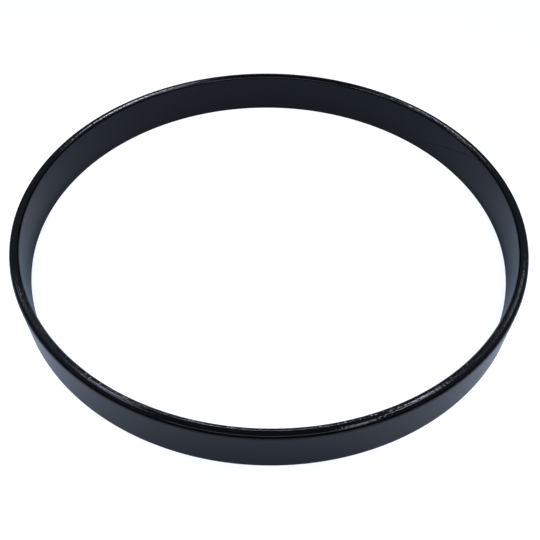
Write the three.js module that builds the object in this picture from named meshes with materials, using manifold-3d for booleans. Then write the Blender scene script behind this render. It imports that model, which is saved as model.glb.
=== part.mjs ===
// Bass drum hoop for a 22 inch drum: a laminated maple ring, sprayed gloss black.
//
// Nine maple veneers are wound into a ring and glued, each with its grain across the grain of the
// one before it. The middle of the stack is a long-grain ply, so the ring is balanced and stays
// round. The hoop is then cut to depth. Its rim, which the tension claws hook over, is turned to a
// full bullnose, and its foot, which presses on the drumhead's flesh hoop, keeps a flat between two
// small rounds.
//
// A long-grain ply is one strip that goes once round, closed by one diagonal seam. A cross-grain
// ply needs a sheet wider than a veneer lathe clips, so it is two half-round strips with two
// diagonal seams. No seam lies near a seam of the ply beside it.
//
// Lengths are in millimetres. +Z is the hoop's axis, from the foot up to the rim, and the origin
// is the centre of the foot's plane. Ring angles start at +X and run towards +Y.

import * as THREE from 'three';
import { mergeVertices } from 'three/addons/utils/BufferGeometryUtils.js';
import Module from 'manifold-3d';

// Driving sizes of the hoop
const INNER_RADIUS = 284.5; // the bore, which passes over a 559 mm shell
const HOOP_DEPTH = 54; // from the foot to the crown of the rim, 2 1/8 inch
const RIM_ROUND = 4.7; // bullnose radius at both walls of the rim
const FOOT_ROUND = 1.0; // small round at both walls of the foot

// Driving sizes of the lamination
const FACE_PLY = 1.0; // thickness of the two veneers that show on the walls
const CORE_PLY = 1.1; // thickness of each veneer between them
const GLUE_LINE = 0.1; // film of glue between two plies
const CORE_PLIES = 7; // odd, so that the middle ply is a long-grain one

// Driving sizes of the seams
const SEAM_RUN = 150; // how far a seam travels round the hoop while it climbs its depth
const SEAM_GAP = 0.3; // width of the joint between two strip ends
const FIRST_SEAM_ANGLE = THREE.MathUtils.degToRad(33.5); // where the innermost ply closes
const SEAM_STAGGER = THREE.MathUtils.degToRad(100); // turn from one ply's seam to the next one's

// How far a cutter passes beyond what it cuts
const CUT_OVERRUN = 5;

// How finely the round shapes are faceted
const RING_SEGMENTS = 120; // the same for every ply, so that glued faces stay parallel
const RIM_ROUND_STEPS = 7;
const FOOT_ROUND_STEPS = 3;

const QUARTER_TURN = Math.PI / 2;

const wasm = await Module();
wasm.setup();

// The stack, from the bore outwards: each ply's two radii and the way its grain runs.
function layUpPlies() {
  const plies = [];
  const count = CORE_PLIES + 2;
  let radius = INNER_RADIUS;
  for (let index = 0; index < count; index += 1) {
    const isFace = index === 0 || index === count - 1;
    const thickness = isFace ? FACE_PLY : CORE_PLY;
    plies.push({
      number: index + 1,
      inner: radius,
      outer: radius + thickness,
      grain: index % 2 === 0 ? 'long' : 'cross',
      isFace,
      seamAngle: FIRST_SEAM_ANGLE + index * SEAM_STAGGER,
    });
    radius += thickness + GLUE_LINE;
  }
  return plies;
}

const plies = layUpPlies();
const outerRadius = plies.at(-1).outer;
const wallThickness = outerRadius - INNER_RADIUS;
const rimRound = Math.min(RIM_ROUND, wallThickness / 2);
const footRound = Math.min(FOOT_ROUND, wallThickness / 2);
const seamClimb = Math.atan2(HOOP_DEPTH, SEAM_RUN);

// How far the turned edge lies below its flat at a given radius.
function edgeDrop(radius, round) {
  const fromWall = Math.min(radius - INNER_RADIUS, outerRadius - radius);
  const fromCentre = Math.max(round - fromWall, 0);
  return round - Math.sqrt(Math.max(round ** 2 - fromCentre ** 2, 0));
}

// The radii at which one ply's edge needs a point: its two faces, and the points of the two
// rounds that fall between them. Points closer together than a glue line are left out.
function edgeRadii(ply, round, steps) {
  const stops = [];
  for (let step = 0; step <= steps; step += 1) {
    const fromWall = round * (1 - Math.cos((QUARTER_TURN * step) / steps));
    stops.push(INNER_RADIUS + fromWall, outerRadius - fromWall);
  }
  stops.sort((first, second) => first - second);
  const radii = [ply.inner];
  for (const stop of stops) {
    const clearOfLast = stop - radii.at(-1) > GLUE_LINE;
    const clearOfFace = ply.outer - stop > GLUE_LINE;
    if (clearOfLast && clearOfFace) radii.push(stop);
  }
  radii.push(ply.outer);
  return radii;
}

// One ply's cross-section as a closed loop: along the foot outwards, and back along the rim.
function plySection(ply) {
  const foot = edgeRadii(ply, footRound, FOOT_ROUND_STEPS).map(
    (radius) => new THREE.Vector2(radius, edgeDrop(radius, footRound)),
  );
  const rim = edgeRadii(ply, rimRound, RIM_ROUND_STEPS).map(
    (radius) => new THREE.Vector2(radius, HOOP_DEPTH - edgeDrop(radius, rimRound)),
  );
  return [...foot, ...rim.reverse(), foot[0].clone()];
}

// A full turned ring of one ply, before its seams are cut.
function plyRing(ply) {
  const ring = new THREE.LatheGeometry(plySection(ply), RING_SEGMENTS);
  ring.rotateX(QUARTER_TURN);
  return ring;
}

function toSolid(geometry) {
  const bare = geometry.clone();
  bare.deleteAttribute('normal');
  bare.deleteAttribute('uv');
  const merged = mergeVertices(bare);
  return new wasm.Manifold(
    new wasm.Mesh({
      numProp: 3,
      vertProperties: Float32Array.from(merged.attributes.position.array),
      triVerts: Uint32Array.from(merged.index.array),
    }),
  );
}

function toGeometry(solid) {
  const mesh = solid.getMesh();
  const geometry = new THREE.BufferGeometry();
  geometry.setAttribute('position', new THREE.BufferAttribute(mesh.vertProperties, 3));
  geometry.setIndex(new THREE.BufferAttribute(mesh.triVerts, 1));
  geometry.computeVertexNormals();
  return geometry;
}

// Turns a cutter made at the origin to the slope of a seam and carries it to the seam's place,
// at mid depth. Seen from the bore, a seam falls to the left.
function placeAtSeam(cutter, radius, angle) {
  cutter.rotateX(-seamClimb);
  cutter.translate(radius, 0, HOOP_DEPTH / 2);
  cutter.rotateZ(angle);
  return cutter;
}

// The thin slanted slot between the two ends of a strip that goes once round.
function seamSlot(ply) {
  const halfRun = SEAM_RUN / 2 + CUT_OVERRUN;
  const curveDepth = ply.inner - Math.sqrt(Math.max(ply.inner ** 2 - halfRun ** 2, 0));
  const innerReach = ply.inner - curveDepth - CUT_OVERRUN;
  const outerReach = ply.outer + CUT_OVERRUN;
  const slot = new THREE.BoxGeometry(
    outerReach - innerReach,
    (2 * halfRun) / Math.cos(seamClimb),
    SEAM_GAP,
  );
  return placeAtSeam(slot, (innerReach + outerReach) / 2, ply.seamAngle);
}

// The space on one side of a slanted plane through the hoop's axis. Side is +1 or -1.
function halfSpace(ply, side) {
  const span = 2 * (outerRadius + HOOP_DEPTH + CUT_OVERRUN);
  const half = new THREE.BoxGeometry(span, span, span);
  half.translate(0, 0, side * (SEAM_GAP / 2 + span / 2));
  return placeAtSeam(half, 0, ply.seamAngle);
}

// Black lacquer over maple. The face veneers fill smooth; the edges of the core plies drink more
// of the lacquer and stay a little duller.
function lacquer(ply) {
  return new THREE.MeshStandardMaterial({
    color: ply.isFace ? '#0b0c10' : '#121318',
    roughness: ply.isFace ? 0.06 : 0.14,
    metalness: 0,
  });
}

function addStrip(group, name, ply, solid) {
  const strip = new THREE.Mesh(toGeometry(solid), lacquer(ply));
  strip.name = name;
  group.add(strip);
}

function longPlyName(ply) {
  if (ply.number === 1) return 'inner_face_ply';
  if (ply.isFace) return 'outer_face_ply';
  return `long_ply_${ply.number}`;
}

// A long-grain ply: one strip, with the slot of its seam cut out.
function addLongPly(group, ply) {
  const ring = toSolid(plyRing(ply));
  const slot = toSolid(seamSlot(ply));
  addStrip(group, longPlyName(ply), ply, ring.subtract(slot));
}

// A cross-grain ply: two strips, one on each side of a slanted plane.
function addCrossPly(group, ply) {
  const ring = toSolid(plyRing(ply));
  const strips = { a: 1, b: -1 };
  for (const [letter, side] of Object.entries(strips)) {
    const half = toSolid(halfSpace(ply, side));
    addStrip(group, `cross_ply_${ply.number}_strip_${letter}`, ply, ring.intersect(half));
  }
}

const hoop = new THREE.Group();
hoop.name = 'bass_drum_hoop';
for (const ply of plies) {
  if (ply.grain === 'long') addLongPly(hoop, ply);
  else addCrossPly(hoop, ply);
}

export default hoop;
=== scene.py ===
# %% [markdown]
# # A bass drum hoop in gloss black
#
# A bass drum hoop is a ring of maple plywood that presses the drumhead onto the shell. This one is
# for a 22 inch drum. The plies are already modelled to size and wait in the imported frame. What the
# eye meets is something else: one unbroken film of black lacquer, polished until it mirrors the
# room. So this scene spends its effort on that film, on the small waves that the plies print
# through it, and on lamps and a floor that are worth mirroring.

# %% Load the frame
import math

import bpy
from mathutils import Euler, Matrix, Vector


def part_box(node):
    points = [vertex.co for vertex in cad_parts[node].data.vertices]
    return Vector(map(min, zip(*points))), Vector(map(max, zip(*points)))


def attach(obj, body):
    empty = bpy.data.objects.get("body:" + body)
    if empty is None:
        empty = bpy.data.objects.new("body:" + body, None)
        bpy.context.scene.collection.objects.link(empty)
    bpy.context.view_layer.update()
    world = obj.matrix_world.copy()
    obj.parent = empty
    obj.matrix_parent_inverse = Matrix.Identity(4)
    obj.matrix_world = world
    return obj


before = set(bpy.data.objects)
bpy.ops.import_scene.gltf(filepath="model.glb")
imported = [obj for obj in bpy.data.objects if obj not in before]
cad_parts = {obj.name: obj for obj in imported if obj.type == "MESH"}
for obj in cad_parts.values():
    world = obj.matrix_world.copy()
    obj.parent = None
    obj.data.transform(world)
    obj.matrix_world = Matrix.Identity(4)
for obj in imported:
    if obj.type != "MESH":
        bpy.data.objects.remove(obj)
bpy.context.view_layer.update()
scene = bpy.context.scene
MM = 0.001

# %% [markdown]
# ## What the frame already knows
#
# The film has to fit the wood, so its sizes start from the innermost and outermost ply. Both are
# faceted rings. A facet of the bore cuts the corner and stands a little proud of the true circle,
# which is why the film stays further off the wood in the bore than outside.

# %% Measure the wood
PLY_COUNT = 9
RING_FACETS = 120
FACE_PLY = 1.0 * MM
inner_veneer_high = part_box("inner_face_ply")[1]
outer_veneer_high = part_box("outer_face_ply")[1]
middle_ply_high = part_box("long_ply_5")[1]
third_ply_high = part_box("long_ply_3")[1]

wood_outer = outer_veneer_high.x
wood_bore = inner_veneer_high.x - FACE_PLY
wood_depth = middle_ply_high.z
facet_bulge = wood_bore * (1 - math.cos(math.pi / RING_FACETS))

# From the outer face of the third ply to that of the fifth, the middle one, it is two plies.
ply_pitch = (middle_ply_high.x - third_ply_high.x) / 2
print(f"bore {wood_bore / MM:.2f}, outer {wood_outer / MM:.2f}, depth {wood_depth / MM:.2f} mm")
print(f"ply pitch {ply_pitch / MM:.2f} mm, facets {facet_bulge / MM:.3f} mm proud in the bore")

# %% [markdown]
# ## Two small helpers
#
# Colours are picked as sRGB hex, as a paint chart gives them, and the shaders need linear light,
# so one function converts. A second function adds a node, sets it and plugs it in. It serves the
# shader trees and the geometry trees alike.


# %% Helpers
def srgb(code):
    """A hex colour such as '#d8b98a' as linear red, green, blue and alpha, by the sRGB curve."""
    channels = [int(code[place : place + 2], 16) / 255 for place in (1, 3, 5)]
    linear = [c / 12.92 if c <= 0.04045 else ((c + 0.055) / 1.055) ** 2.4 for c in channels]
    return (*linear, 1.0)


def add(tree, kind, inputs=None, **settings):
    """Add one node. An input is a value, an output that feeds it, or a node for its first one."""
    node = tree.nodes.new(kind)
    for name, value in settings.items():
        setattr(node, name, value)
    for key, value in (inputs or {}).items():
        if isinstance(value, bpy.types.Node):
            value = value.outputs[0]
        if isinstance(value, bpy.types.NodeSocket):
            tree.links.new(value, node.inputs[key])
        else:
            node.inputs[key].default_value = value
    return node


# %% [markdown]
# ## Two measures that belong to a ring
#
# On a ring nearly everything depends on how far a point lies from the axis and how far round it
# is. The first function measures that. The second makes a course for noise that should be long
# round the hoop and short across its plies: the direction seen from the axis, scaled up, says how
# far round, and the third coordinate says how far across.


# %% Measures on a ring
def from_axis(tree, place):
    """A point's place in plan, its distance from the hoop's axis, and its height."""
    split = add(tree, "ShaderNodeSeparateXYZ", {0: place}).outputs
    plan = add(tree, "ShaderNodeCombineXYZ", {"X": split["X"], "Y": split["Y"]})
    radius = add(tree, "ShaderNodeVectorMath", {0: plan}, operation="LENGTH").outputs["Value"]
    return plan, radius, split["Z"]


def round_course(tree, plan, lengths_round, steps_across):
    """Where a point lies along the ring and across the plies, as a vector for a noise."""
    toward = add(tree, "ShaderNodeVectorMath", {0: plan}, operation="NORMALIZE")
    travel = add(
        tree, "ShaderNodeVectorMath", {0: toward, "Scale": lengths_round}, operation="SCALE"
    )
    lift = add(tree, "ShaderNodeCombineXYZ", {"Z": steps_across})
    return add(tree, "ShaderNodeVectorMath", {0: travel, 1: lift}, operation="ADD")


# %% [markdown]
# ## The film's section
#
# Cut the hoop across and the lacquer is a thin closed band around the wood: straight down both
# walls, a full bullnose over the rim and two small rounds at the foot. A mirror shows every error
# of a normal, so the rim gets a point every fifth of a millimetre, and rows of points down the
# walls keep the smooth shading of the rounds out of the flats. The back of the film, against the
# wood, isn't seen and makes do with far fewer.

# %% Sizes of the film
# A real coat is about 0.2 mm thick. This one is a little thicker, so that the waves of its outer
# skin stay clear of the wood.
FILM = 0.28 * MM
FILM_CLEARANCE = 0.02 * MM
RIM_ROUND = 5.0 * MM
FOOT_ROUND = 1.3 * MM

film_outer = wood_outer + FILM_CLEARANCE + FILM
film_bore = wood_bore - facet_bulge - FILM_CLEARANCE - FILM
film_top = wood_depth + FILM_CLEARANCE + FILM
film_foot = -(FILM_CLEARANCE + FILM)
wall_middle = (film_bore + film_outer) / 2
print(f"film: bore {film_bore / MM:.2f}, outer {film_outer / MM:.2f} mm")


# %% Draw arcs and straights
FEWEST_ARC_STEPS = 3


def arc(centre_r, centre_z, radius, start, stop, step):
    """Points of an arc in the section plane, from start to stop in degrees, both included."""
    span = math.radians(stop - start)
    count = max(FEWEST_ARC_STEPS, round(abs(span) * radius / step))
    angles = [math.radians(start) + span * i / count for i in range(count + 1)]
    return [(centre_r + radius * math.cos(a), centre_z + radius * math.sin(a)) for a in angles]


def straight(first, last, step):
    """Points strictly between two ends, in steps of about the given length."""
    length = math.dist(first, last)
    count = max(1, round(length / step))
    shares = [i / count for i in range(1, count)]
    return [tuple(a + (b - a) * s for a, b in zip(first, last)) for s in shares]


# %% Draw a band with rounded corners
SKIN_STEPS = {"rim": 0.22 * MM, "wall": 4.0 * MM, "foot": 0.7 * MM}
BACK_STEPS = {"rim": 1.1 * MM, "wall": 8.0 * MM, "foot": 3.3 * MM}
FOOT_ROUND_FINENESS = 3


def band(bore, outer, foot, top, rim_round, foot_round, steps):
    """A closed outline, anticlockwise seen with the radius to the right and Z up."""
    low = foot + foot_round
    high = top - rim_round
    fine = steps["foot"] / FOOT_ROUND_FINENESS
    corners = [
        arc(outer - foot_round, low, foot_round, -90, 0, fine),
        arc(outer - rim_round, high, rim_round, 0, 90, steps["rim"]),
        arc(bore + rim_round, high, rim_round, 90, 180, steps["rim"]),
        arc(bore + foot_round, low, foot_round, 180, 270, fine),
    ]
    sides = [steps["wall"], steps["rim"], steps["wall"], steps["foot"]]
    outline = []
    for corner, side, following in zip(corners, sides, corners[1:] + corners[:1]):
        outline += corner
        outline += straight(corner[-1], following[0], side)
    return outline


skin_outline = band(
    film_bore,
    film_outer,
    film_foot,
    film_top,
    RIM_ROUND,
    FOOT_ROUND,
    SKIN_STEPS,
)
back_outline = band(
    film_bore + FILM,
    film_outer - FILM,
    film_foot + FILM,
    film_top - FILM,
    RIM_ROUND - FILM,
    FOOT_ROUND - FILM,
    BACK_STEPS,
)
print(f"section: {len(skin_outline)} points outside, {len(back_outline)} against the wood")

# %% [markdown]
# ## Sweep the section round, and let the plies print through
#
# A hoop follows one rule all the way round, which is what Geometry Nodes are good at. The tree
# takes the two outlines, sweeps them round a circle and then shifts the surface along its own
# normals. Wood shrinks across its fibres and hardly along them. So at the rim the long-grain plies
# have sunk a little, the cross-grain plies, whose fibres stand on end, have not, and the lacquer
# carries shallow waves. Their depth wanders along the ring, because wood does. The walls lie on
# the flat face of a veneer and stay true.


# %% Sweep the section
def swept_section(tree, given):
    """The section, which arrives as edges with X for the radius and Y for the height, as a ring."""
    section = add(tree, "GeometryNodeMeshToCurve", {"Mesh": given["Geometry"]})
    path = add(
        tree,
        "GeometryNodeCurvePrimitiveCircle",
        {"Resolution": given["Ring Steps"], "Radius": given["Ring Radius"]},
    )
    ring = add(tree, "GeometryNodeCurveToMesh", {"Curve": path, "Profile Curve": section})

    # The sweep leaves the faces looking inwards, so they are turned round.
    return add(tree, "GeometryNodeFlipFaces", {"Mesh": ring})


# %% Waves over the plies
WAVE_NOISE_DETAIL = 2.0
NOISE_MIDDLE = 0.5
WANDER_GAIN = 2.0


def ply_relief(tree, given):
    """The height of the waves at a point, in shares of the sink depth."""
    place = add(tree, "GeometryNodeInputPosition")
    plan, radius, _ = from_axis(tree, place)
    past = add(
        tree, "ShaderNodeMath", {0: radius, 1: given["First Glue Line"]}, operation="SUBTRACT"
    )
    plies = add(tree, "ShaderNodeMath", {0: past, 1: given["Ply Pitch"]}, operation="DIVIDE")

    # One wave for each pair of plies: end grain stands, long grain sinks.
    phase = add(tree, "ShaderNodeMath", {0: plies, 1: math.pi}, operation="MULTIPLY")
    wave = add(tree, "ShaderNodeMath", {0: phase}, operation="SINE")

    # The wander is noise, brought from between 0 and 1 to between -1 and 1.
    lengths = add(
        tree, "ShaderNodeMath", {0: radius, 1: given["Wander Length"]}, operation="DIVIDE"
    )
    noise = add(
        tree,
        "ShaderNodeTexNoise",
        {
            "Vector": round_course(tree, plan, lengths, plies),
            "Scale": 1.0,
            "Detail": WAVE_NOISE_DETAIL,
        },
    )
    centred = add(tree, "ShaderNodeMath", {0: noise, 1: NOISE_MIDDLE}, operation="SUBTRACT")
    wander = add(tree, "ShaderNodeMath", {0: centred, 1: WANDER_GAIN}, operation="MULTIPLY")
    return add(tree, "ShaderNodeMath", {0: wave, 1: wander}, operation="ADD")


# %% The film's tree
FILM_INPUTS = {
    "Geometry": "NodeSocketGeometry",
    "Ring Steps": "NodeSocketInt",
    "Ring Radius": "NodeSocketFloat",
    "Ply Pitch": "NodeSocketFloat",
    "First Glue Line": "NodeSocketFloat",
    "Sink Depth": "NodeSocketFloat",
    "Wander Length": "NodeSocketFloat",
    "Skin": "NodeSocketMaterial",
}

# Below 1, so that the waves reach well down the rounds.
EXPOSURE_POWER = 0.7


def film_tree():
    """Sweep the section and shift it where it looks up or down, so that the walls stay true."""
    tree = bpy.data.node_groups.new("sweep_lacquer_film", "GeometryNodeTree")
    for name, kind in FILM_INPUTS.items():
        tree.interface.new_socket(name, in_out="INPUT", socket_type=kind)
    tree.interface.new_socket("Geometry", in_out="OUTPUT", socket_type="NodeSocketGeometry")
    given = add(tree, "NodeGroupInput").outputs
    ring = swept_section(tree, given)

    normal = add(tree, "GeometryNodeInputNormal").outputs["Normal"]
    tilt = add(tree, "ShaderNodeSeparateXYZ", {0: normal}).outputs["Z"]
    lie = add(tree, "ShaderNodeMath", {0: tilt}, operation="ABSOLUTE")
    exposed = add(tree, "ShaderNodeMath", {0: lie, 1: EXPOSURE_POWER}, operation="POWER")

    relief = ply_relief(tree, given)
    masked = add(tree, "ShaderNodeMath", {0: relief, 1: exposed}, operation="MULTIPLY")
    depth = add(
        tree, "ShaderNodeMath", {0: masked, 1: given["Sink Depth"]}, operation="MULTIPLY"
    )
    shift = add(tree, "ShaderNodeVectorMath", {0: normal, "Scale": depth}, operation="SCALE")
    moved = add(tree, "GeometryNodeSetPosition", {"Geometry": ring, "Offset": shift})
    smooth = add(tree, "GeometryNodeSetShadeSmooth", {"Geometry": moved})
    real = add(tree, "GeometryNodeRealizeInstances", {"Geometry": smooth})
    painted = add(
        tree, "GeometryNodeSetMaterial", {"Geometry": real, "Material": given["Skin"]}
    )
    add(tree, "NodeGroupOutput", {"Geometry": painted})
    return tree


# %% From outlines to a plain mesh
def edge_loops(name, outlines):
    """A mesh of closed edge loops, one for each outline, drawn about the middle of the wall."""
    points = []
    edges = []
    for outline in outlines:
        first = len(points)
        count = len(outline)
        points += [(r - wall_middle, -z, 0.0) for r, z in outline]
        edges += [(first + i, first + (i + 1) % count) for i in range(count)]
    mesh = bpy.data.meshes.new(name)
    mesh.from_pydata(points, edges, [])
    piece = bpy.data.objects.new(name, mesh)
    scene.collection.objects.link(piece)
    return piece


def grow(piece, tree, settings):
    """Run a geometry tree on a piece and keep the result as a plain mesh."""
    modifier = piece.modifiers.new("grow", "NODES")
    modifier.node_group = tree
    for item in tree.interface.items_tree:
        if item.in_out == "INPUT" and item.name in settings:
            modifier[item.identifier] = settings[item.name]
    graph = bpy.context.evaluated_depsgraph_get()
    grown = bpy.data.meshes.new_from_object(piece.evaluated_get(graph))
    piece.modifiers.remove(modifier)
    piece.data = grown
    return piece


# %% [markdown]
# ## Black lacquer
#
# Polyester lacquer, sprayed in several coats over black filler, sanded flat and buffed. It is a
# dielectric with an index near 1.5, so it mirrors four percent straight on and nearly everything
# at a grazing look: that is why the walls brighten towards both sides. Under the mirror there is
# only black. What tells the eye that it is a sprayed coat and not a sheet of glass is its relief,
# which is far too shallow to model point by point and so goes into the shader as a height:
#
# - orange peel, the faint dimpling that sprayed lacquer keeps on the walls;
# - ripple on the rim, where a buffing wheel can't lie flat and end grain has drunk unevenly;
# - a coarser print over each cross-grain ply, whose cut fibres stand on end;
# - the two face seams, which have sunk a hair after the lacquer dried;
# - a few dust nibs.
#
# Two masks say where: one for the rim, and one for every second ply.

# %% Masks
# The rim's mask is full from this share of the round's radius below the crown.
RIM_MASK_STOP = 0.35

# The cosine goes from 1 over a long-grain ply to -1 over a cross-grain ply. The mask starts and
# is full at these values of it.
CROSS_FADE_START = 0.2
CROSS_FADE_END = -0.4


def rim_mask(tree, height):
    """0 on the walls, and 1 from two thirds up the round."""
    return add(
        tree,
        "ShaderNodeMapRange",
        {
            "Value": height,
            "From Min": film_top - RIM_ROUND,
            "From Max": film_top - RIM_MASK_STOP * RIM_ROUND,
        },
        interpolation_type="SMOOTHSTEP",
    )


def cross_grain_mask(tree, radius):
    """1 over the cross-grain plies: a cosine with a period of two plies finds them."""
    past = add(
        tree, "ShaderNodeMath", {0: radius, 1: wood_bore + FACE_PLY / 2}, operation="SUBTRACT"
    )
    phase = add(
        tree, "ShaderNodeMath", {0: past, 1: math.pi / ply_pitch}, operation="MULTIPLY"
    )
    swing = add(tree, "ShaderNodeMath", {0: phase}, operation="COSINE")
    return add(
        tree,
        "ShaderNodeMapRange",
        {
            "Value": swing,
            "From Min": CROSS_FADE_START,
            "From Max": CROSS_FADE_END,
            "To Min": 0.0,
            "To Max": 1.0,
        },
    )


# %% Orange peel, ripple and the print of the grain
PEEL_WIDTH = 6.0 * MM
PEEL_HEIGHT = 0.002 * MM
PEEL_DETAIL = 1.0
RIPPLE_LENGTH = 2.6 * MM
RIPPLE_WIDTH = 1.5 * MM
RIPPLE_HEIGHT = 0.10 * MM
RIPPLE_DETAIL = 0.0

# Cut fibres are finer than a tenth of a millimetre, and are drawn coarse enough to show.
GRAIN_WIDTH = 1.1 * MM
GRAIN_HEIGHT = 0.010 * MM
GRAIN_DETAIL = 2.0


def sprayed_relief(tree, place, plan, radius, rim, print_mask):
    """Orange peel everywhere, ripple on the rim, and grain where the print mask says."""
    peel = add(
        tree,
        "ShaderNodeTexNoise",
        {"Vector": place, "Scale": 1 / PEEL_WIDTH, "Detail": PEEL_DETAIL},
    )
    relief = add(tree, "ShaderNodeMath", {0: peel, 1: PEEL_HEIGHT}, operation="MULTIPLY")

    across = add(
        tree, "ShaderNodeMath", {0: radius, 1: 1 / RIPPLE_WIDTH}, operation="MULTIPLY"
    )
    course = round_course(tree, plan, film_outer / RIPPLE_LENGTH, across)
    ripple = add(
        tree, "ShaderNodeTexNoise", {"Vector": course, "Scale": 1.0, "Detail": RIPPLE_DETAIL}
    )
    ripple = add(tree, "ShaderNodeMath", {0: ripple, 1: RIPPLE_HEIGHT}, operation="MULTIPLY")
    relief = add(
        tree, "ShaderNodeMath", {0: ripple, 1: rim, 2: relief}, operation="MULTIPLY_ADD"
    )

    grain = add(
        tree,
        "ShaderNodeTexNoise",
        {"Vector": place, "Scale": 1 / GRAIN_WIDTH, "Detail": GRAIN_DETAIL},
    )
    grain = add(tree, "ShaderNodeMath", {0: grain, 1: GRAIN_HEIGHT}, operation="MULTIPLY")
    return add(
        tree, "ShaderNodeMath", {0: grain, 1: print_mask, 2: relief}, operation="MULTIPLY_ADD"
    )


# %% [markdown]
# ## The two face seams
#
# Each face veneer is one strip, and its two ends meet in a long diagonal joint, which is stronger
# than a square one. The joint is filled and sprayed over, but the wood goes on drying, one end
# sinks a hair below the other, and a faint line shows in the gloss. A groove in the film itself
# would need a far finer mesh than the rest of it, so the line is drawn as a height in the shader:
# a sharp step on its lower side, which fades out slowly above.

# %% Where the face seams are
# Seen from the side, a seam climbs the depth of the hoop while it runs 150 mm round it.
SEAM_RUN = 150 * MM
BORE_SEAM = math.radians(33.5)
SEAM_STAGGER = math.radians(100)
OUTER_SEAM = BORE_SEAM + (PLY_COUNT - 1) * SEAM_STAGGER
seam_climb = math.atan2(wood_depth, SEAM_RUN)
print("face seams at", [round(math.degrees(a) % 360, 1) for a in (BORE_SEAM, OUTER_SEAM)], "deg")

# %% The step at a seam
# A real step is a few hundredths of a millimetre high. It is drawn deeper, so that it shows.
SEAM_SINK = 0.36 * MM
SEAM_WIDTH = 1.3 * MM
SEAM_FADE = 20.0 * MM

# The plane of a seam would cut the hoop twice. Only the cut beyond this share of the bore counts.
SEAM_SIDE = 0.8


def seam_step(tree, place, angle, waver):
    """The height at the seam at a ring angle: a sharp step that fades out above it."""
    square_to_seam = (
        -math.sin(angle) * math.sin(seam_climb),
        math.cos(angle) * math.sin(seam_climb),
        math.cos(seam_climb),
    )
    middle = wood_depth / 2 * math.cos(seam_climb)
    from_foot = add(
        tree, "ShaderNodeVectorMath", {0: place, 1: square_to_seam}, operation="DOT_PRODUCT"
    ).outputs["Value"]
    offset = add(tree, "ShaderNodeMath", {0: from_foot, 1: -middle}, operation="ADD")
    wavy = add(tree, "ShaderNodeMath", {0: offset, 1: waver}, operation="ADD")
    above = add(
        tree, "ShaderNodeMath", {0: wavy, 1: SEAM_WIDTH / SEAM_FADE}, operation="MULTIPLY"
    )
    below = add(tree, "ShaderNodeMath", {0: wavy, 1: -1.0}, operation="MULTIPLY")
    distance = add(tree, "ShaderNodeMath", {0: above, 1: below}, operation="MAXIMUM")
    groove = add(
        tree,
        "ShaderNodeMapRange",
        {
            "Value": distance,
            "From Min": 0.0,
            "From Max": SEAM_WIDTH,
            "To Min": -SEAM_SINK,
            "To Max": 0.0,
        },
        interpolation_type="SMOOTHSTEP",
    )

    toward = (math.cos(angle), math.sin(angle), 0.0)
    side = add(
        tree, "ShaderNodeVectorMath", {0: place, 1: toward}, operation="DOT_PRODUCT"
    ).outputs["Value"]
    near = add(
        tree, "ShaderNodeMath", {0: side, 1: wood_bore * SEAM_SIDE}, operation="GREATER_THAN"
    )
    return add(tree, "ShaderNodeMath", {0: groove, 1: near}, operation="MULTIPLY")


# %% Both seams
SEAM_WAVER = 0.8 * MM
SEAM_WAVER_LENGTH = 14.0 * MM
SEAM_WAVER_DETAIL = 2.0


def with_seams(tree, place, radius, relief):
    """The relief with the bore's seam on the inner half of the wall, the other on the outer."""
    noise = add(
        tree,
        "ShaderNodeTexNoise",
        {"Vector": place, "Scale": 1 / SEAM_WAVER_LENGTH, "Detail": SEAM_WAVER_DETAIL},
    )
    waver = add(
        tree,
        "ShaderNodeMath",
        {0: noise, 1: SEAM_WAVER, 2: -SEAM_WAVER / 2},
        operation="MULTIPLY_ADD",
    )
    outside = add(tree, "ShaderNodeMath", {0: radius, 1: wall_middle}, operation="GREATER_THAN")
    inside = add(tree, "ShaderNodeMath", {0: 1.0, 1: outside}, operation="SUBTRACT")
    for angle, half in ((BORE_SEAM, inside), (OUTER_SEAM, outside)):
        seam = seam_step(tree, place, angle, waver)
        relief = add(
            tree, "ShaderNodeMath", {0: seam, 1: half, 2: relief}, operation="MULTIPLY_ADD"
        )
    return relief


# %% Dust nibs
NIB_SPACING = 28.0 * MM
NIB_RADIUS = 0.7 * MM
NIB_HEIGHT = 0.05 * MM


def with_nibs(tree, place, relief):
    """The relief with a bump at the few points of a cell pattern that the surface passes."""
    cells = add(
        tree, "ShaderNodeTexVoronoi", {"Vector": place, "Scale": 1 / NIB_SPACING}
    ).outputs["Distance"]
    nib = add(
        tree,
        "ShaderNodeMapRange",
        {
            "Value": cells,
            "From Min": 0.0,
            "From Max": NIB_RADIUS / NIB_SPACING,
            "To Min": NIB_HEIGHT,
            "To Max": 0.0,
        },
        interpolation_type="SMOOTHSTEP",
    )
    return add(tree, "ShaderNodeMath", {0: nib, 1: relief}, operation="ADD")


# %% Lacquer material
# Buffing leaves a mirror on the walls and a little haze where the wheel missed.
LACQUER_IOR = 1.5
BLUE_BLACK = "#010102"
GREY_BLACK = "#040405"
HAZE_WIDTH = 25.0 * MM
HAZE_DETAIL = 3.0
POLISHED = 0.03
HAZY = 0.07
PRINT_DULLING = 0.03


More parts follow.
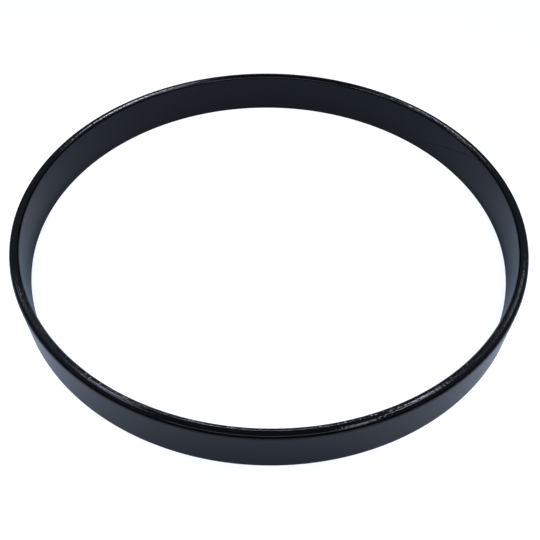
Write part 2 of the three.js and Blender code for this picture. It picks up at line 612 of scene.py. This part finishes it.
def black_lacquer():
    """Sprayed and buffed black lacquer."""
    material = bpy.data.materials.new("polished_black_lacquer")
    material.use_nodes = True
    tree = material.node_tree
    tree.nodes.clear()
    place = add(tree, "ShaderNodeTexCoord").outputs["Object"]
    plan, radius, height = from_axis(tree, place)
    rim = rim_mask(tree, height)
    cross_grain = cross_grain_mask(tree, radius)
    print_mask = add(tree, "ShaderNodeMath", {0: cross_grain, 1: rim}, operation="MULTIPLY")

    relief = sprayed_relief(tree, place, plan, radius, rim, print_mask)
    relief = with_seams(tree, place, radius, relief)
    relief = with_nibs(tree, place, relief)
    bump = add(
        tree, "ShaderNodeBump", {"Height": relief, "Strength": 1.0, "Distance": 1.0}
    )

    haze = add(
        tree,
        "ShaderNodeTexNoise",
        {"Vector": place, "Scale": 1 / HAZE_WIDTH, "Detail": HAZE_DETAIL},
    )
    gloss = add(
        tree, "ShaderNodeMapRange", {"Value": haze, "To Min": POLISHED, "To Max": HAZY}
    )
    roughness = add(
        tree,
        "ShaderNodeMath",
        {0: print_mask, 1: PRINT_DULLING, 2: gloss},
        operation="MULTIPLY_ADD",
    )
    black = add(
        tree,
        "ShaderNodeMix",
        {"Factor": haze, "A": srgb(BLUE_BLACK), "B": srgb(GREY_BLACK)},
        data_type="RGBA",
    ).outputs["Result"]
    surface = add(
        tree,
        "ShaderNodeBsdfPrincipled",
        {"Base Color": black, "Roughness": roughness, "IOR": LACQUER_IOR, "Normal": bump},
    )
    add(tree, "ShaderNodeOutputMaterial", {"Surface": surface})
    return material


# %% Make the film
SINK_DEPTH = 0.045 * MM
WANDER_LENGTH = 12.0 * MM
RING_STEPS = 576

coat = edge_loops("lacquer_coat", [skin_outline, back_outline[::-1]])
grow(
    coat,
    film_tree(),
    {
        "Ring Steps": RING_STEPS,
        "Ring Radius": wall_middle,
        "Ply Pitch": ply_pitch,
        "First Glue Line": wood_bore + FACE_PLY,
        "Sink Depth": SINK_DEPTH,
        "Wander Length": WANDER_LENGTH,
        "Skin": black_lacquer(),
    },
)
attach(coat, "root")
coat_size = [round(side / MM, 2) for side in coat.dimensions]
print("lacquer_coat:", len(coat.data.polygons), "faces,", coat_size, "mm")

# %% [markdown]
# ## Maple veneer
#
# The thirteen strips stay as the CAD made them, under the film. Hard maple peeled on a lathe is
# cream with fine brown fibres about half a millimetre apart and a few centimetres long, and soft
# patches where the light catches the figure. In a long-grain ply the fibres run round the hoop,
# in a cross-grain ply they climb it, so the same pattern is stretched one way or the other.
# Wherever a cutter or the spray gun reached, the wood is soaked black: on both walls and on the
# turned edges. The faces inside a seam and between two plies stay bare.

# %% Fibres of the veneer
FIBRE_LENGTH = 60.0 * MM
FIBRE_PITCH = 0.5 * MM
FIBRE_DETAIL = 4.0
FIBRE_RAGGEDNESS = 0.6
FIBRE_STRETCH = {
    "long": (1 / FIBRE_LENGTH, 1 / FIBRE_LENGTH, 1 / FIBRE_PITCH),
    "cross": (1 / FIBRE_PITCH, 1 / FIBRE_PITCH, 1 / FIBRE_LENGTH),
}


def veneer_fibres(tree, place, radius, grain):
    """Noise that is drawn out along the fibres, and changes from layer to layer."""
    drawn = add(
        tree,
        "ShaderNodeVectorMath",
        {0: place, 1: FIBRE_STRETCH[grain]},
        operation="MULTIPLY",
    )
    layers = add(
        tree, "ShaderNodeMath", {0: radius, 1: 1 / FIBRE_PITCH}, operation="MULTIPLY"
    )
    lift = add(tree, "ShaderNodeCombineXYZ", {"Z": layers})
    fibres = add(tree, "ShaderNodeVectorMath", {0: drawn, 1: lift}, operation="ADD")
    return add(
        tree,
        "ShaderNodeTexNoise",
        {
            "Vector": fibres,
            "Scale": 1.0,
            "Detail": FIBRE_DETAIL,
            "Roughness": FIBRE_RAGGEDNESS,
        },
    )


# %% Where the wood is soaked
SOAK_DEPTH = 0.1 * MM

# The face between two plies stands upright. A surface that leans more than this was turned.
TURNED_TILT = 0.05


def soaked_mask(tree, radius, height):
    """1 on the two walls, and on the surfaces near the rim or the foot that a cutter turned."""
    in_bore = add(
        tree, "ShaderNodeMath", {0: radius, 1: wood_bore + SOAK_DEPTH}, operation="LESS_THAN"
    )
    outside = add(
        tree,
        "ShaderNodeMath",
        {0: radius, 1: wood_outer - facet_bulge - SOAK_DEPTH},
        operation="GREATER_THAN",
    )
    walls = add(tree, "ShaderNodeMath", {0: in_bore, 1: outside}, operation="MAXIMUM")

    above = add(
        tree,
        "ShaderNodeMath",
        {0: height, 1: wood_depth - RIM_ROUND - SOAK_DEPTH},
        operation="GREATER_THAN",
    )
    below = add(
        tree, "ShaderNodeMath", {0: height, 1: FOOT_ROUND + SOAK_DEPTH}, operation="LESS_THAN"
    )
    ends = add(tree, "ShaderNodeMath", {0: above, 1: below}, operation="MAXIMUM")

    normal = add(tree, "ShaderNodeNewGeometry").outputs["Normal"]
    tilt = add(tree, "ShaderNodeSeparateXYZ", {0: normal}).outputs["Z"]
    lean = add(tree, "ShaderNodeMath", {0: tilt}, operation="ABSOLUTE")
    turned = add(tree, "ShaderNodeMath", {0: lean, 1: TURNED_TILT}, operation="GREATER_THAN")
    edges = add(tree, "ShaderNodeMath", {0: ends, 1: turned}, operation="MULTIPLY")
    return add(tree, "ShaderNodeMath", {0: walls, 1: edges}, operation="MAXIMUM")


# %% Veneer material
FIGURE_LENGTH = 45.0 * MM
FIGURE_DETAIL = 2.0
FIGURE_SHARE = 0.5
BROWNEST_TONE = 0.5
PALEST_TONE = 0.95
DRY_ROUGH = 0.65
DRY_SMOOTH = 0.45
PORE_HEIGHT = 0.02 * MM
SOAKED_BLACK = "#08080a"
SOAKED_ROUGHNESS = 0.12


def maple(name, grain, pale, brown):
    """Maple with its fibres 'long', round the hoop, or 'cross', up its depth."""
    material = bpy.data.materials.new(name)
    material.use_nodes = True
    tree = material.node_tree
    tree.nodes.clear()
    place = add(tree, "ShaderNodeTexCoord").outputs["Object"]
    _, radius, height = from_axis(tree, place)
    fine = veneer_fibres(tree, place, radius, grain)
    figure = add(
        tree,
        "ShaderNodeTexNoise",
        {"Vector": place, "Scale": 1 / FIGURE_LENGTH, "Detail": FIGURE_DETAIL},
    )
    tone = add(
        tree, "ShaderNodeMath", {0: figure, 1: FIGURE_SHARE, 2: fine}, operation="MULTIPLY_ADD"
    )
    share = add(
        tree,
        "ShaderNodeMapRange",
        {"Value": tone, "From Min": BROWNEST_TONE, "From Max": PALEST_TONE},
    )
    wood = add(
        tree,
        "ShaderNodeMix",
        {"Factor": share, "A": srgb(brown), "B": srgb(pale)},
        data_type="RGBA",
    ).outputs["Result"]
    dry = add(
        tree, "ShaderNodeMapRange", {"Value": fine, "To Min": DRY_ROUGH, "To Max": DRY_SMOOTH}
    )

    soaked = soaked_mask(tree, radius, height)
    colour = add(
        tree,
        "ShaderNodeMix",
        {"Factor": soaked, "A": wood, "B": srgb(SOAKED_BLACK)},
        data_type="RGBA",
    ).outputs["Result"]
    roughness = add(
        tree,
        "ShaderNodeMix",
        {"Factor": soaked, "A": dry, "B": SOAKED_ROUGHNESS},
        data_type="FLOAT",
    )
    bump = add(
        tree, "ShaderNodeBump", {"Height": fine, "Strength": 1.0, "Distance": PORE_HEIGHT}
    )
    surface = add(
        tree,
        "ShaderNodeBsdfPrincipled",
        {"Base Color": colour, "Roughness": roughness, "IOR": LACQUER_IOR, "Normal": bump},
    )
    add(tree, "ShaderNodeOutputMaterial", {"Surface": surface})
    return material


# %% Dress the strips
veneers = {
    "face_ply": maple("peeled_maple_face_veneer", "long", "#e8d2ad", "#cfab7c"),
    "long_ply": maple("peeled_maple_long_grain", "long", "#e0c49a", "#c39a68"),
    "cross_ply": maple("peeled_maple_cross_grain", "cross", "#dcbf94", "#b88f5e"),
}
for name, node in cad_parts.items():
    kind = next(kind for kind in veneers if kind in name)
    node.data.materials.clear()
    node.data.materials.append(veneers[kind])
print("dressed", len(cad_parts), "strips with", len(veneers), "veneers")

# %% [markdown]
# ## Camera
#
# The photograph was taken from close by, about three quarters of a metre from the hoop, looking
# down at it with a moderate lens, and with the camera held a touch askew.

# %% Camera
CAMERA_AT = Vector((0.0, -0.5534, 0.5560))
CAMERA_PITCH = math.radians(47.92)
CAMERA_HEADING = math.radians(-0.145)
CAMERA_ROLL = math.radians(0.91)
LENS = 42.25
SENSOR = 36.0

camera_data = bpy.data.cameras.new("camera")
camera_data.sensor_width = SENSOR
camera_data.lens = LENS
camera = bpy.data.objects.new("camera", camera_data)
camera.rotation_mode = "QUATERNION"
level = Euler((math.pi / 2 - CAMERA_PITCH, 0, CAMERA_HEADING)).to_matrix()
camera.rotation_quaternion = (level @ Matrix.Rotation(CAMERA_ROLL, 3, "Z")).to_quaternion()
camera.location = CAMERA_AT
scene.collection.objects.link(camera)
scene.camera = camera
print(f"camera {CAMERA_AT.length:.2f} m from the hoop's centre")

# %% [markdown]
# ## Table top
#
# A black mirror is a picture of its surroundings, so the surroundings are the second half of the
# material. In the photograph the background was cut out to white, but the hoop still mirrors the
# place where it stood. Its walls mirror the table top, so the tone of the table top is the tone
# of the walls: bluish, and brighter to the left and the right than in the middle. The white is
# therefore a glow for the camera's own rays, also through glass. Mirrors get a weak share of it
# and see the lit table top instead.

# %% A round table top
FLOOR_RADIUS = 0.85
FLOOR_SIDES = 96

floor_corners = []
for corner in range(FLOOR_SIDES):
    angle = 2 * math.pi * corner / FLOOR_SIDES
    floor_corners.append(
        (FLOOR_RADIUS * math.cos(angle), FLOOR_RADIUS * math.sin(angle), film_foot)
    )
floor_mesh = bpy.data.meshes.new("floor")
floor_mesh.from_pydata(floor_corners, [], [tuple(range(FLOOR_SIDES))])
floor = bpy.data.objects.new("floor", floor_mesh)
scene.collection.objects.link(floor)
print(f"floor: {2 * FLOOR_RADIUS:.2f} m across")


# %% Pale paper
FLOOR_COLOUR = "#939eb0"
WHITE = (1.0, 1.0, 1.0, 1.0)

# Together with the light that falls on the paper, this glow makes white for the camera.
CAMERA_GLOW = 0.84
MIRROR_GLOW = 0.03


def seen_directly(tree):
    """1 for a ray from the camera, straight or through glass, and 0 for any other."""
    rays = add(tree, "ShaderNodeLightPath").outputs
    return add(
        tree,
        "ShaderNodeMath",
        {0: rays["Is Camera Ray"], 1: rays["Is Transmission Ray"]},
        operation="MAXIMUM",
    )


def pale_paper():
    """Matt paper that also glows, nearly white for the camera and faintly for mirrors."""
    material = bpy.data.materials.new("pale_paper")
    material.use_nodes = True
    tree = material.node_tree
    tree.nodes.clear()
    rays = add(tree, "ShaderNodeLightPath").outputs
    share = add(
        tree,
        "ShaderNodeMath",
        {0: rays["Is Glossy Ray"], 1: MIRROR_GLOW / CAMERA_GLOW, 2: seen_directly(tree)},
        operation="MULTIPLY_ADD",
    )
    strength = add(tree, "ShaderNodeMath", {0: share, 1: CAMERA_GLOW}, operation="MULTIPLY")
    glow = add(tree, "ShaderNodeEmission", {"Color": WHITE, "Strength": strength})
    matt = add(tree, "ShaderNodeBsdfDiffuse", {"Color": srgb(FLOOR_COLOUR)})
    both = add(tree, "ShaderNodeAddShader", {0: matt, 1: glow})
    add(tree, "ShaderNodeOutputMaterial", {"Surface": both})
    return material


floor.data.materials.append(pale_paper())
print("floor glows at", CAMERA_GLOW, "for the camera and", MIRROR_GLOW, "in mirrors")

# %% [markdown]
# ## Lamps
#
# The rim is a narrow convex mirror that looks at the ceiling. Where a highlight sits on it tells
# where a lamp hung: two strips over the left and the right and a short one near the photographer,
# two slanting strips and a small softbox behind the hoop, two slanting wings for the thin lines
# at the front left and right, two small spots outside, and a broad window behind the
# photographer. A lamp with a grid, a narrow spread, shows only in the stretch of rim that it is
# aimed at.
#
# Two more lamps over the left and the right make no highlight, because mirrors don't show them.
# They only light the table top that the walls mirror.

# %% A lamp
LAMP_HEIGHT = 0.70
RIM_HEIGHT = 0.054
OPEN_SPREAD = 180
COOL_WHITE = "#e6f0ff"


def lamp(
    name,
    at,
    size,
    radiance,
    turn=0.0,
    aim=None,
    spread=OPEN_SPREAD,
    colour=COOL_WHITE,
    in_mirrors=True,
):
    """An area lamp, which looks straight down unless it is aimed. A radiance of 1 is white."""
    data = bpy.data.lights.new(name, "AREA")
    data.shape = "RECTANGLE"
    data.size, data.size_y = size
    data.energy = radiance * math.pi * size[0] * size[1]
    if spread < OPEN_SPREAD:
        # A narrow beam makes the lamp's face brighter, and the power comes down to undo that.
        half = math.radians(spread / 2)
        data.spread = 2 * half
        data.energy *= 1 - half / math.tan(half)
    data.color = srgb(colour)[:3]
    piece = bpy.data.objects.new(name, data)
    piece.location = at
    aim = Vector(aim) if aim else Vector((at[0], at[1], 0))
    face = (aim - Vector(at)).normalized()
    turn = math.radians(turn)
    run = Vector((-math.sin(turn), math.cos(turn), 0))
    run = (run - face * run.dot(face)).normalized()
    axes = Matrix((run.cross(-face), run, -face)).transposed()
    piece.rotation_mode = "QUATERNION"
    piece.rotation_quaternion = axes.to_quaternion()
    piece.visible_camera = False
    piece.visible_glossy = in_mirrors
    scene.collection.objects.link(piece)
    return piece


# %% Strips and wings
lamp("right_strip", at=(0.345, 0.0, LAMP_HEIGHT), size=(0.05, 0.42), radiance=15.0)
lamp("left_strip", at=(-0.365, 0.0, LAMP_HEIGHT), size=(0.08, 0.42), radiance=6.5)
lamp("near_strip", at=(0.34, -0.52, LAMP_HEIGHT), size=(0.13, 0.26), radiance=3.2)
lamp(
    "far_right_strip",
    at=(0.16, 0.57, LAMP_HEIGHT),
    size=(0.06, 0.19),
    radiance=24.0,
    turn=-54,
    aim=(0.222, 0.190, RIM_HEIGHT),
    spread=15,
)
lamp(
    "far_left_strip",
    at=(-0.060, 0.47, LAMP_HEIGHT),
    size=(0.045, 0.54),
    radiance=26.0,
    turn=39,
    aim=(-0.210, 0.207, RIM_HEIGHT),
    spread=22,
)
lamp(
    "left_wing",
    at=(-0.475, 0.25, LAMP_HEIGHT),
    size=(0.05, 0.24),
    radiance=3.2,
    turn=45,
    aim=(-0.205, -0.205, RIM_HEIGHT),
    spread=24,
)
lamp(
    "right_wing",
    at=(0.475, 0.25, LAMP_HEIGHT),
    size=(0.05, 0.24),
    radiance=2.8,
    turn=-45,
    aim=(0.205, -0.205, RIM_HEIGHT),
    spread=24,
)

# %% Spots, window and softbox
WARM_WHITE = "#fff4ea"
WINDOW_HEIGHT = 0.95

lamp("left_spot", at=(-0.79, 0.33, LAMP_HEIGHT), size=(0.16, 0.12), radiance=6.5)
lamp("right_spot", at=(0.56, 0.44, LAMP_HEIGHT), size=(0.24, 0.09), radiance=3.0)
lamp(
    "front_window",
    at=(0.0, -1.05, WINDOW_HEIGHT),
    size=(1.5, 0.40),
    radiance=0.9,
    aim=(0, 0, 0),
    colour=WARM_WHITE,
)
lamp(
    "far_softbox",
    at=(-0.01, 0.925, LAMP_HEIGHT),
    size=(0.24, 0.16),
    radiance=18.0,
    aim=(-0.01, -0.29, RIM_HEIGHT),
    spread=15,
)

# %% Glows on the table top
GLOW_HEIGHT = 0.40
GLOW_COLOUR = "#ffeee2"

lamp(
    "right_glow",
    at=(0.370, -0.17, GLOW_HEIGHT),
    size=(0.14, 0.36),
    radiance=8.6,
    colour=GLOW_COLOUR,
    in_mirrors=False,
)
lamp(
    "left_glow",
    at=(-0.360, -0.10, GLOW_HEIGHT),
    size=(0.14, 0.46),
    radiance=8.0,
    colour=GLOW_COLOUR,
    in_mirrors=False,
)

# %% [markdown]
# ## Room
#
# The room is three pictures at once. The camera sees white. Mirrors see a dim bluish room: dark
# at table height, brightest from 25 to 45 degrees up, and dimmer again overhead. Matt surfaces
# are lit by an even bluish dome. It gives the table top a soft shade next to the hoop, and the
# walls, which mirror that shade, their dark lower edge.

# %% Room
ROOM_LIGHT = (0.14, 0.17, 0.22, 1.0)
DOME_LIGHT = (0.36, 0.48, 0.60, 1.0)
WALLS_START = 0.12
WALLS_FULL = 0.42
CEILING_START = 0.70
CEILING_FULL = 0.92
CEILING_SHARE = 0.5

world = bpy.data.worlds.new("studio")
scene.world = world
world.use_nodes = True
tree = world.node_tree
tree.nodes.clear()
direction = add(tree, "ShaderNodeTexCoord").outputs["Generated"]
height = add(tree, "ShaderNodeSeparateXYZ", {0: direction}).outputs["Z"]
walls = add(
    tree,
    "ShaderNodeMapRange",
    {
        "Value": height,
        "From Min": WALLS_START,
        "From Max": WALLS_FULL,
        "To Min": 0.0,
        "To Max": 1.0,
    },
    interpolation_type="SMOOTHSTEP",
)
ceiling = add(
    tree,
    "ShaderNodeMapRange",
    {
        "Value": height,
        "From Min": CEILING_START,
        "From Max": CEILING_FULL,
        "To Min": 1.0,
        "To Max": CEILING_SHARE,
    },
    interpolation_type="SMOOTHSTEP",
)
brightness = add(tree, "ShaderNodeMath", {0: walls, 1: ceiling}, operation="MULTIPLY")

# %% Who sees what
room = add(tree, "ShaderNodeBackground", {"Color": ROOM_LIGHT, "Strength": brightness})
dome = add(tree, "ShaderNodeBackground", {"Color": DOME_LIGHT, "Strength": 1.0})
white = add(tree, "ShaderNodeBackground", {"Color": WHITE, "Strength": 1.0})
rays = add(tree, "ShaderNodeLightPath").outputs
around_hoop = add(tree, "ShaderNodeMixShader", {0: rays["Is Diffuse Ray"], 1: room, 2: dome})
choice = add(tree, "ShaderNodeMixShader", {0: seen_directly(tree), 1: around_hoop, 2: white})
add(tree, "ShaderNodeOutputWorld", {"Surface": choice})
scene.view_settings.view_transform = "Standard"
print("room nodes:", len(tree.nodes))
